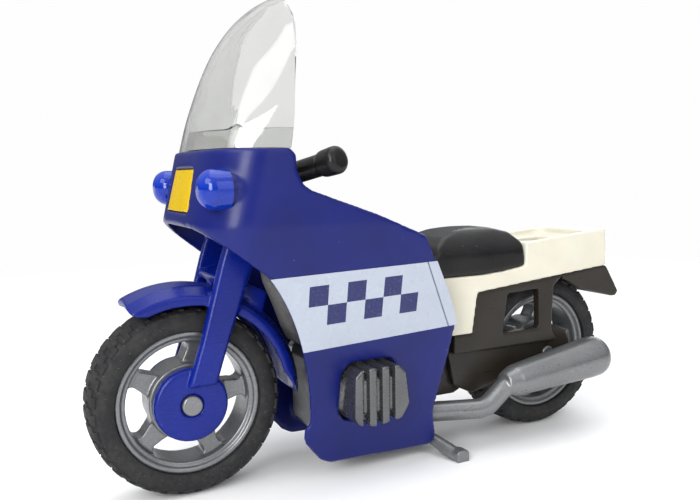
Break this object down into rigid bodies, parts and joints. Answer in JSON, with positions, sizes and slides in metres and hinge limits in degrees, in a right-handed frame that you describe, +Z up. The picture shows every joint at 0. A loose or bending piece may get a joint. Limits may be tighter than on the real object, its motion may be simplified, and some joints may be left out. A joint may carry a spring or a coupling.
{
  "type": "toy police motorcycle",
  "caption": "Moulded free-rolling toy police motorcycle with full fairing, clear screen, beacons, turning fork, spinning wheels and folding centre stand.",
  "frame": {"origin": "on the ground under the middle of the bike's box", "axes": "+X to the bike's left, +Y to the rear, +Z up; the bike faces -Y"},
  "size_m": [0.0448, 0.1272, 0.0964],
  "materials": {
    "frame_plastic": "moulded dark brown-black plastic, satin",
    "silver_plastic": "moulded silver-grey plastic with a fine metallic fleck",
    "blue_plastic": "glossy deep royal-blue moulded plastic",
    "fork_plastic": "glossy royal-blue moulded plastic",
    "clear_plastic": "clear moulded plastic, faintly smoky",
    "yellow_lens": "opaque yellow plastic, flat and glossy",
    "blue_lens": "translucent blue moulded plastic",
    "label_film": "pale bluish-white film label with a blue chequer band",
    "cream_plastic": "cream moulded plastic, satin gloss",
    "black_plastic": "black moulded plastic, satin",
    "steel_pin": "drawn steel wire",
    "tyre_rubber": "black moulded rubber with blocks on the shoulders"
  },
  "bodies": {
    "frame": {"chassis_frame": "frame_plastic", "side_frame_left": "frame_plastic", "side_frame_right": "frame_plastic", "rear_mudguard": "frame_plastic", "engine_block": "silver_plastic", "cylinder_left": "silver_plastic", "cylinder_right": "silver_plastic", "exhaust_left": "silver_plastic", "exhaust_right": "silver_plastic", "fairing_shell": "blue_plastic", "windscreen": "clear_plastic", "headlight_lens": "yellow_lens", "beacon_left": "blue_lens", "beacon_right": "blue_lens", "label_left": "label_film", "label_right": "label_film", "tail_body": "cream_plastic", "seat": "black_plastic", "rear_axle": "silver_plastic", "stand_pin": "steel_pin"},
    "steering": {"front_fork": "fork_plastic", "handlebar": "black_plastic", "steering_stem": "steel_pin", "front_axle": "silver_plastic"},
    "front_wheel": {"front_tyre": "tyre_rubber", "front_rim": "silver_plastic"},
    "rear_wheel": {"rear_tyre": "tyre_rubber", "rear_rim": "silver_plastic"},
    "stand": {"centre_stand": "silver_plastic"}
  },
  "joints": [
    {"name": "steering_turn", "type": "hinge", "parent": "frame", "child": "steering", "pos_m": [0, -0.03175, 0.055], "axis": [0, 0.3211, 0.9471], "range_deg": [-11, 11]},
    {"name": "front_wheel_spin", "type": "hinge", "parent": "steering", "child": "front_wheel", "pos_m": [0, -0.04465, 0.019], "axis": [1, 0, 0], "continuous": true},
    {"name": "rear_wheel_spin", "type": "hinge", "parent": "frame", "child": "rear_wheel", "pos_m": [0, 0.04265, 0.019], "axis": [1, 0, 0], "continuous": true},
    {"name": "stand_fold", "type": "hinge", "parent": "frame", "child": "stand", "pos_m": [0, 0.00735, 0.0049], "axis": [1, 0, 0], "range_deg": [0, 50]}
  ]
}
